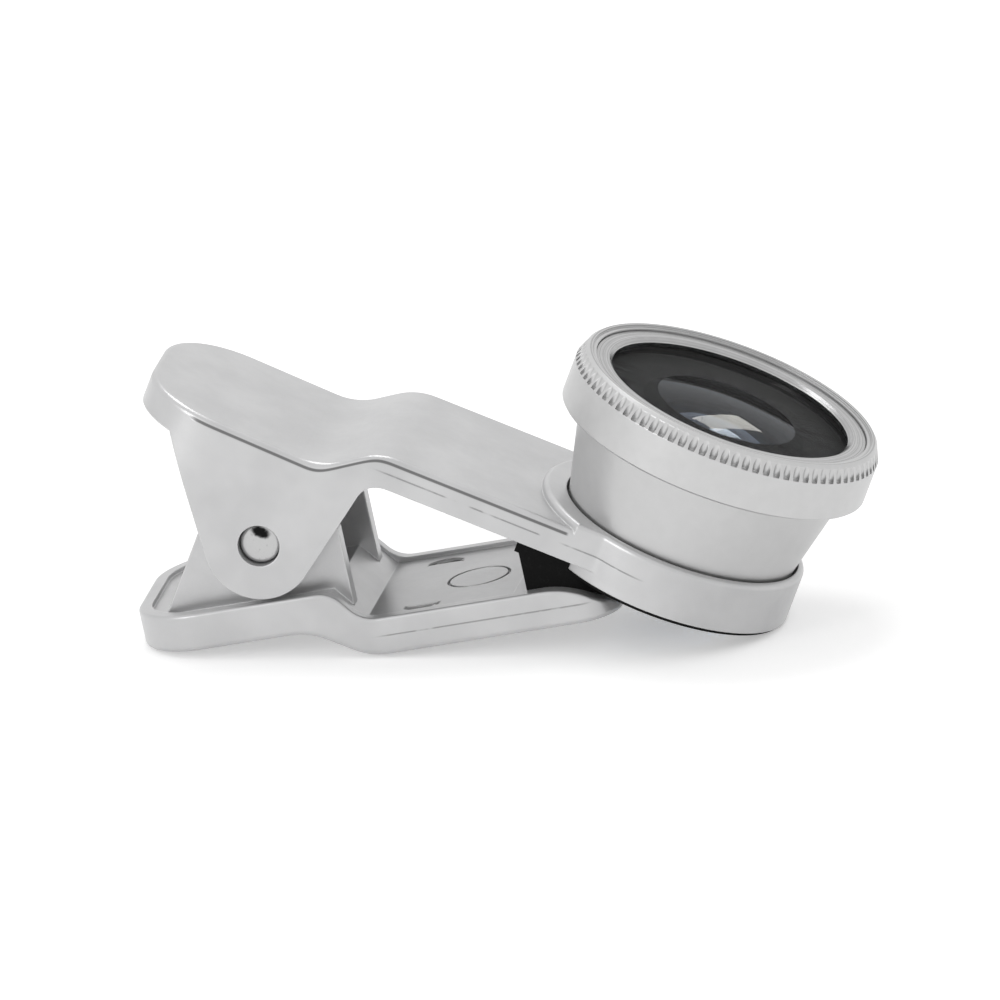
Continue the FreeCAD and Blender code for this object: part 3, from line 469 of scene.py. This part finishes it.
def jaw_rubber(name):
    """Black rubber with a fine grain and a little dust."""
    m = Shader(name)
    place = m.place(upper_frame())
    grain = m.noise(place, 9.0, 3.0, 0.6)
    dust = m.step(m.noise(place, 2.4, 5.0, 0.65), 0.56, 0.72)
    m.set(base_color=m.mix(m.times(dust, 0.2), grey(0.005), grey(0.03)),
          roughness=m.spread(grain, 0.55, 0.8), specular_ior_level=0.1,
          normal=m.bump(grain, 0.02 * MM, 0.7))
    return m.material


# The hollow under the front glass, which shows as a pale oval: it lies inside this radius and
# under this level, and its coating has this tint
HOLLOW_RADIUS = 5.74
HOLLOW_TOP = 12.57
HOLLOW_TINT = (0.8, 0.88, 1.0, 1.0)


def coated_glass(name, tint, index, hollow_gloss=0.0):
    """Clear glass whose coating leaves it only a faint reflection, with a little dust on it."""
    m = Shader(name)
    place = m.place(lens_frame())
    dust = m.step(m.noise(place, 5.0, 4.0, 0.6), 0.68, 0.8)
    m.set(base_color=tint, roughness=m.spread(dust, 0.0, 0.04), ior=index, transmission_weight=1.0,
          normal=m.bump(m.noise(place, 0.5, 1.0), 0.0008 * MM))
    if hollow_gloss > 0:
        x, y, z = m.split(place)
        hollow = m.times(m.math("LESS_THAN", lens_radius(m, x, y), HOLLOW_RADIUS),
                         m.math("LESS_THAN", z, HOLLOW_TOP))
        m.set(coat_weight=m.times(hollow, hollow_gloss), coat_roughness=0.0,
              coat_tint=HOLLOW_TINT)
    return m.material


def paint(piece, material):
    piece.data.materials.clear()
    piece.data.materials.append(material)


def paint_nodes():
    barrel = turned_metal("satin_aluminium_barrel", grey(0.56), grey(0.72), 0.36, 0.05,
                          metallic=0.75, edge_highlight=0.5, threaded=True)
    band = turned_metal("satin_aluminium_band", grey(0.54), grey(0.74), 0.3, 0.05,
                        metallic=0.8, edge_highlight=0.3)
    bright = turned_metal("bright_aluminium", grey(0.4), grey(0.7), 0.2, 0.04,
                          metallic=1.0, edge_highlight=0.7)
    black = turned_metal("black_anodised", grey(0.006), grey(0.02), 0.55, 0.12,
                         metallic=0.0, edge_highlight=0.1, gloss=0.08)
    upper = silver_paint("silver_paint_upper", upper_frame(), 9.6, 6.0, 30.0, edged=True)
    lower = silver_paint("silver_paint_lower", lower_frame(), -8.9, 7.0, 26.0, marked=True)
    pin_steel = drawn_steel("pin_steel", 0.5, shadowed=True)
    rubber = jaw_rubber("jaw_rubber")
    front_glass = coated_glass("front_glass", (0.97, 0.98, 1.0, 1.0), 1.05, hollow_gloss=0.55)
    inner_glass = coated_glass("inner_glass", (0.7, 0.85, 1.0, 1.0), 1.35)
    materials = {
        "upper_arm": upper,
        "lower_arm": lower,
        "hinge_pin": pin_steel,
        "upper_jaw_pad": rubber,
        "lower_jaw_pad": rubber,
        "lens_barrel": barrel,
        "front_ring": band,
        "front_retaining_ring": bright,
        "front_element": front_glass,
        "middle_element": inner_glass,
        "rear_element": inner_glass,
        "baffle_ring": black,
        "baffle_shim": black,
        "inner_cell": black,
        "aperture_spacer": black,
        "rear_retaining_ring": black,
    }
    for node, material in materials.items():
        paint(NODES[node], material)


# The torsion spring: a wound wire that twists as the clip opens; here it is swept as one fixed mesh

COIL_RADIUS = 2.4
WIRE_RADIUS = 0.4
COIL_PITCH = 0.86
WHOLE_TURNS = 8
UPPER_LEG_END = (-7.6, 5.694)
LOWER_LEG_END = (-4.034, -7.886)

# Points of the wire's middle line: on each turn of the coil, and on each leg
TURN_POINTS = 40
LEG_POINTS = 12

# Corners round the wire, and the chamfer of its cut ends as a share of its radius
WIRE_SIDES = 16
WIRE_CHAMFER = 0.25


def touch_angle(point, side):
    """Angle round the coil where the straight line to the point touches it."""
    reach = math.hypot(*point)
    return math.atan2(point[1], point[0]) - side * math.acos(COIL_RADIUS / reach)


def spring_path():
    """The wire's middle line, from the lower leg's end to the upper one's, and half its width."""
    first = touch_angle(LOWER_LEG_END, -1)
    last = touch_angle(UPPER_LEG_END, 1)
    turns = WHOLE_TURNS + ((last - first) % TURN) / TURN
    half = turns * COIL_PITCH / 2
    count = round(turns * TURN_POINTS)
    coil = []
    for index in range(count + 1):
        share = index / count
        angle = first + TURN * turns * share
        coil.append(Vector((COIL_RADIUS * math.cos(angle), half - 2 * half * share,
                            COIL_RADIUS * math.sin(angle))))
    lower = Vector((LOWER_LEG_END[0], half, LOWER_LEG_END[1]))
    upper = Vector((UPPER_LEG_END[0], -half, UPPER_LEG_END[1]))
    steps = [index / LEG_POINTS for index in range(LEG_POINTS)]
    path = [lower.lerp(coil[0], share) for share in steps] + coil
    path += [coil[-1].lerp(upper, share + 1 / LEG_POINTS) for share in steps]
    return path, half


def wire_rings(path):
    """Middle, right, up and radius of each ring of the wire along the path, its ends chamfered."""
    ways = [(path[min(i + 1, len(path) - 1)] - path[max(i - 1, 0)]).normalized()
            for i in range(len(path))]
    off_the_wire = Vector((0.3, 1.0, 0.2))
    side = ways[0].cross(off_the_wire).normalized()
    rings = []
    for point, way in zip(path, ways):
        side = (side - way * side.dot(way)).normalized()
        rings.append((point, side.copy(), way.cross(side), WIRE_RADIUS))
    cut = WIRE_RADIUS * WIRE_CHAMFER
    rings.insert(0, (path[0], rings[0][1], rings[0][2], WIRE_RADIUS - cut))
    rings[1] = (path[0] + ways[0] * cut, *rings[1][1:])
    rings.append((path[-1], rings[-1][1], rings[-1][2], WIRE_RADIUS - cut))
    rings[-2] = (path[-1] - ways[-1] * cut, *rings[-2][1:])
    return rings


def sweep_wire(path):
    """The wire along the path, with closed ends: points and faces."""
    rings = wire_rings(path)
    points = []
    for middle, right, up, size in rings:
        for index in range(WIRE_SIDES):
            angle = TURN * index / WIRE_SIDES
            points.append(middle + (right * math.cos(angle) + up * math.sin(angle)) * size)
    faces = []
    for row in range(len(rings) - 1):
        for index in range(WIRE_SIDES):
            a, b = row * WIRE_SIDES + index, row * WIRE_SIDES + (index + 1) % WIRE_SIDES
            faces.append((a, b, b + WIRE_SIDES, a + WIRE_SIDES))
    faces.append(tuple(reversed(range(WIRE_SIDES))))
    last = (len(rings) - 1) * WIRE_SIDES
    faces.append(tuple(range(last, last + WIRE_SIDES)))
    return points, faces


def make_spring():
    path, half = spring_path()
    place = upper_frame()
    points, faces = sweep_wire(path)
    mesh = bpy.data.meshes.new("spring_coil")
    mesh.from_pydata([place @ (point * MM) for point in points], [], faces)
    mesh.validate()
    for face in mesh.polygons:
        face.use_smooth = len(face.vertices) == 4
    spring = bpy.data.objects.new("spring_coil", mesh)
    bpy.context.scene.collection.objects.link(spring)
    paint(spring, drawn_steel("spring_steel", 0.4))
    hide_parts("torsion_spring")
    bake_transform(spring)


# Table, light and camera

FLOOR_SIZE = 40.0
FLOOR_GREY = 0.9
FLOOR_GLOW = 0.36
WORLD_LIGHT = 0.68

# The soft boxes' places, sizes and powers
KEY = ((-0.03, 0.09, 0.32), (0.14, 0.14), 0.21)
FRONT = ((-0.19, -0.24, 0.11), (0.12, 0.12), 0.16)
WINDOW = ((0.106, 0.301, 0.241), (0.05, 0.12), 0.14)
WINDOW_COLOUR = (1.0, 0.97, 0.88)

# The photo's view: its right and up, along and across the upper arm and along the lens axis, and
# its middle, in millimetres right of and above the pin's near end, which is PIN_END from the
# hinge's middle
VIEW_RIGHT = (0.928, 0.165, 0.334)
VIEW_UP = (-0.3688, 0.290, 0.883)
VIEW_MIDDLE = (19.11, 3.655)
PIN_END = 9.0
PHOTO_PIXELS = 1000
PIXELS_PER_MM = 12.64

# The camera's focal length in millimetres, and how far it sees in metres
FOCAL_LENGTH = 1500.0
VIEW_DEPTH = 100.0


def make_floor():
    """A pale table that also glows a little where the camera, a mirror or glass sees it."""
    bpy.ops.mesh.primitive_plane_add(size=FLOOR_SIZE)
    floor = bpy.context.object
    floor.name = "floor"
    m = Shader("floor")
    m.set(base_color=grey(FLOOR_GREY), roughness=0.9, specular_ior_level=0.0)
    path = m.node("LightPath")
    seen = m.math("MAXIMUM", path.outputs["Is Camera Ray"],
                  m.math("MAXIMUM", path.outputs["Is Glossy Ray"],
                         path.outputs["Is Transmission Ray"]))
    glow = m.node("Emission", {"Color": grey(1.0), "Strength": m.times(seen, FLOOR_GLOW)})
    both = m.node("AddShader")
    m.link(m.surface.outputs["BSDF"], both.inputs[0])
    m.link(glow.outputs["Emission"], both.inputs[1])
    m.link(both.outputs["Shader"], m.output.inputs["Surface"])
    floor.data.materials.append(m.material)


def make_world():
    """Even light from all round, and plain white where the camera, a mirror or glass sees it."""
    world = bpy.data.worlds.new("studio")
    bpy.context.scene.world = world
    world.use_nodes = True
    tree = world.node_tree
    back = tree.nodes["Background"]
    path = tree.nodes.new("ShaderNodeLightPath")
    seen = path.outputs["Is Camera Ray"]
    for name in ("Is Glossy Ray", "Is Transmission Ray"):
        either = tree.nodes.new("ShaderNodeMath")
        either.operation = "MAXIMUM"
        tree.links.new(seen, either.inputs[0])
        tree.links.new(path.outputs[name], either.inputs[1])
        seen = either.outputs[0]
    level = tree.nodes.new("ShaderNodeMapRange")
    level.inputs["To Min"].default_value = WORLD_LIGHT
    level.inputs["To Max"].default_value = 1.0
    tree.links.new(seen, level.inputs["Value"])
    tree.links.new(level.outputs["Result"], back.inputs["Strength"])
    back.inputs["Color"].default_value = grey(1.0)


def add_lamp(name, place, size, power):
    """A soft box at place, facing the part."""
    data = bpy.data.lights.new(name, "AREA")
    data.shape = "RECTANGLE"
    data.size, data.size_y = size
    data.energy = power
    lamp = bpy.data.objects.new(name, data)
    bpy.context.scene.collection.objects.link(lamp)
    lamp.location = place
    lamp.rotation_euler = (-Vector(place)).to_track_quat("-Z", "Y").to_euler()
    lamp.visible_camera = False
    return lamp


def add_window():
    """A small window behind the part that only the front glass reflects, as a pale patch."""
    window = add_lamp("window", *WINDOW)
    window.data.color = WINDOW_COLOUR
    glass = bpy.data.collections.new("window_reflectors")
    glass.objects.link(NODES["front_element"])
    window.light_linking.receiver_collection = glass


def on_arm(along, across, up):
    """A direction given along and across the upper arm and along the lens axis."""
    return ARM_WAY * along + ACROSS * across + LENS_AXIS * up


def make_camera():
    """A long lens, with the photo's view and frame."""
    right = on_arm(*VIEW_RIGHT).normalized()
    up = on_arm(*VIEW_UP)
    up = (up - right * up.dot(right)).normalized()
    towards = right.cross(up)
    near_pin_end = HINGE - ACROSS * PIN_END * MM
    middle_right, middle_up = VIEW_MIDDLE
    target = near_pin_end + right * middle_right * MM + up * middle_up * MM
    width = PHOTO_PIXELS / PIXELS_PER_MM * MM
    data = bpy.data.cameras.new("photo_view")
    data.lens = FOCAL_LENGTH
    distance = width / data.sensor_width * data.lens
    camera = bpy.data.objects.new("photo_view", data)
    bpy.context.scene.collection.objects.link(camera)
    turn = Matrix((right, up, towards)).transposed().to_4x4()
    camera.matrix_world = Matrix.Translation(target + towards * distance) @ turn
    data.clip_end = VIEW_DEPTH
    bpy.context.scene.camera = camera


paint_nodes()
make_spring()
make_floor()
make_world()
add_lamp("key", *KEY)
add_lamp("front", *FRONT)
add_window()
make_camera()

bpy.context.scene.view_settings.view_transform = "Standard"
